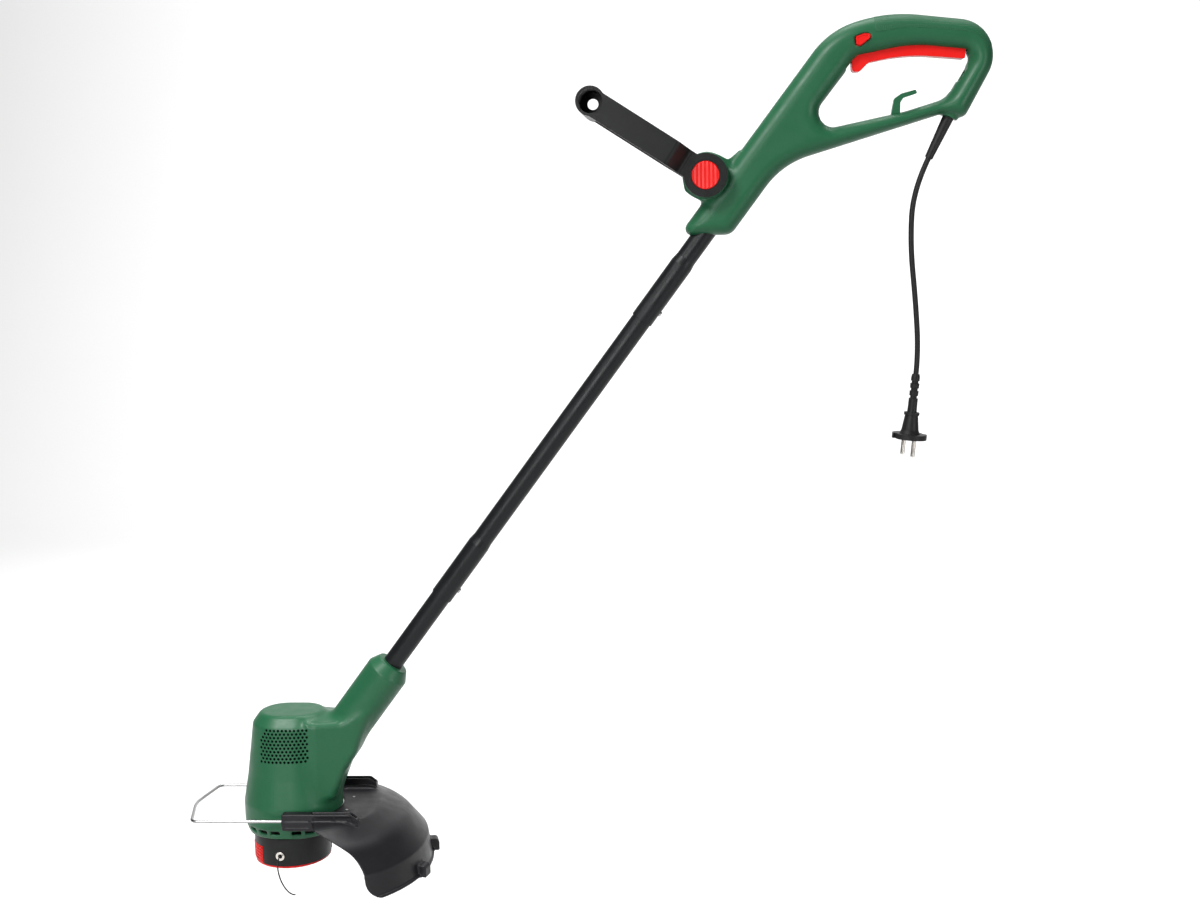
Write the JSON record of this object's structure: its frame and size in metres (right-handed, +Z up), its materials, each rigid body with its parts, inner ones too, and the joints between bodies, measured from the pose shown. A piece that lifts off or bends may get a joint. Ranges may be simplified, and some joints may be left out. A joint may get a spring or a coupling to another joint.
{
  "type": "string trimmer",
  "caption": "Corded string trimmer with a closed rear handle, tilting front handle, jointed shaft, motor head, spool, line guard and wire plant guard.",
  "frame": {"origin": "middle of the rear grip, where the hand holds the trimmer", "axes": "+X towards the user's end, +Z up along the spindle, Y across, with Y = 0 where the two halves meet"},
  "size_m": [0.885, 0.216, 0.9375],
  "materials": {
    "shell_plastic": "satin",
    "green_plastic": "satin",
    "red_plastic": "satin",
    "soft_grip": "matt, dimpled",
    "cord_rubber": "matt",
    "tube_paint": "satin",
    "steel": "brushed",
    "brass": "bright",
    "copper": "bright",
    "magnet": "matt",
    "carbon": "matt",
    "line": "nylon",
    "head_plastic": "satin",
    "guard_plastic": "satin",
    "white_plastic": "satin"
  },
  "bodies": {
    "frame": {"handle_shell_near": "green_plastic", "handle_shell_far": "green_plastic", "grip_pad": "soft_grip", "trigger_pin": "steel", "trigger_spring": "steel", "lock_off_spring": "steel", "switch_body": "white_plastic", "suppression_capacitor": "white_plastic", "cord_hook": "green_plastic", "handle_screws": "steel", "cord_sleeve": "cord_rubber", "cord": "cord_rubber", "plug_body": "cord_rubber", "plug_pins": "brass", "front_lock_spring": "steel", "upper_tube": "tube_paint", "middle_tube": "tube_paint", "lower_tube": "tube_paint", "snap_leaf_springs": "steel", "inner_cable": "cord_rubber", "motor_housing_near": "head_plastic", "motor_housing_far": "head_plastic", "head_screws": "steel", "motor_can": "steel", "motor_end_cap": "white_plastic", "motor_magnets": "magnet", "upper_bearing": "brass", "lower_bearing": "brass", "carbon_brushes": "carbon", "brush_springs": "steel", "guard": "guard_plastic", "guard_screws": "steel", "line_cutter": "steel", "cutter_screws": "steel"},
    "rotor": {"motor_shaft": "steel", "armature_core": "steel", "armature_winding": "copper", "commutator": "copper", "cooling_fan": "white_plastic", "drive_hub": "white_plastic", "spool_cup": "shell_plastic", "line_eyelet": "steel", "cutting_line": "line", "feed_spring": "steel"},
    "spool_cover": {"spool_cover": "red_plastic"},
    "catch_near": {"spool_catch_near": "red_plastic"},
    "catch_far": {"spool_catch_far": "red_plastic"},
    "bobbin": {"bobbin": "shell_plastic", "wound_line": "line"},
    "trigger": {"trigger": "red_plastic"},
    "plunger": {"switch_plunger": "red_plastic"},
    "lock_off": {"lock_off_button": "red_plastic"},
    "front_handle": {"front_handle": "shell_plastic"},
    "lock_button_near": {"front_lock_button_near": "red_plastic"},
    "lock_button_far": {"front_lock_button_far": "red_plastic"},
    "upper_snap": {"upper_snap_button": "steel"},
    "lower_snap": {"lower_snap_button": "steel"},
    "plant_guard": {"plant_guard": "steel"}
  },
  "joints": [
    {"name": "trigger_squeeze", "type": "hinge", "parent": "frame", "child": "trigger", "pos_m": [0.06, 0, -0.004], "axis": [0, 1, 0], "range_deg": [0, 3.2], "stiffness_Nm_per_rad": 0.6, "deforming": ["trigger_spring"]},
    {"name": "switch_press", "type": "slide", "parent": "frame", "child": "plunger", "axis": [0, 0, 1], "range_m": [0, 0.0025], "stiffness_N_per_m": 150},
    {"name": "lock_off_press", "type": "slide", "parent": "frame", "child": "lock_off", "axis": [0, 1, 0], "range_m": [0, 0.004], "stiffness_N_per_m": 200, "deforming": ["lock_off_spring"]},
    {"name": "front_handle_tilt", "type": "hinge", "parent": "frame", "child": "front_handle", "pos_m": [-0.2075, 0, -0.1363], "axis": [0, 1, 0], "range_deg": [-60, 45]},
    {"name": "front_lock_near_press", "type": "slide", "parent": "front_handle", "child": "lock_button_near", "axis": [0, 1, 0], "range_m": [0, 0.004], "stiffness_N_per_m": 300, "deforming": ["front_lock_spring"]},
    {"name": "front_lock_far_press", "type": "slide", "parent": "front_handle", "child": "lock_button_far", "axis": [0, -1, 0], "range_m": [0, 0.004], "stiffness_N_per_m": 300, "deforming": ["front_lock_spring"]},
    {"name": "spindle_spin", "type": "hinge", "parent": "frame", "child": "rotor", "pos_m": [-0.685, 0, -0.829], "axis": [0, 0, 1], "continuous": true},
    {"name": "bump_feed", "type": "slide", "parent": "rotor", "child": "bobbin", "axis": [0, 0, 1], "range_m": [0, 0.004], "stiffness_N_per_m": 400, "deforming": ["feed_spring"]},
    {"name": "cover_lift_off", "type": "slide", "parent": "rotor", "child": "spool_cover", "axis": [0, 0, -1], "range_m": [0, 0.03]},
    {"name": "catch_near_press", "type": "slide", "parent": "spool_cover", "child": "catch_near", "axis": [0.866, 0.5, 0], "range_m": [0, 0.002], "stiffness_N_per_m": 500},
    {"name": "catch_far_press", "type": "slide", "parent": "spool_cover", "child": "catch_far", "axis": [-0.866, -0.5, 0], "range_m": [0, 0.002], "stiffness_N_per_m": 500},
    {"name": "plant_guard_slide", "type": "slide", "parent": "frame", "child": "plant_guard", "axis": [-1, 0, 0], "range_m": [-0.02, 0.036]},
    {"name": "upper_snap_press", "type": "slide", "parent": "frame", "child": "upper_snap", "axis": [-0.7986, 0, 0.6018], "range_m": [0, 0.0025], "stiffness_N_per_m": 300},
    {"name": "lower_snap_press", "type": "slide", "parent": "frame", "child": "lower_snap", "axis": [-0.7986, 0, 0.6018], "range_m": [0, 0.0025], "stiffness_N_per_m": 300}
  ],
  "couplings": [
    {"joint": "switch_press", "follows": "trigger_squeeze", "m_per_rad": 0.041}
  ]
}
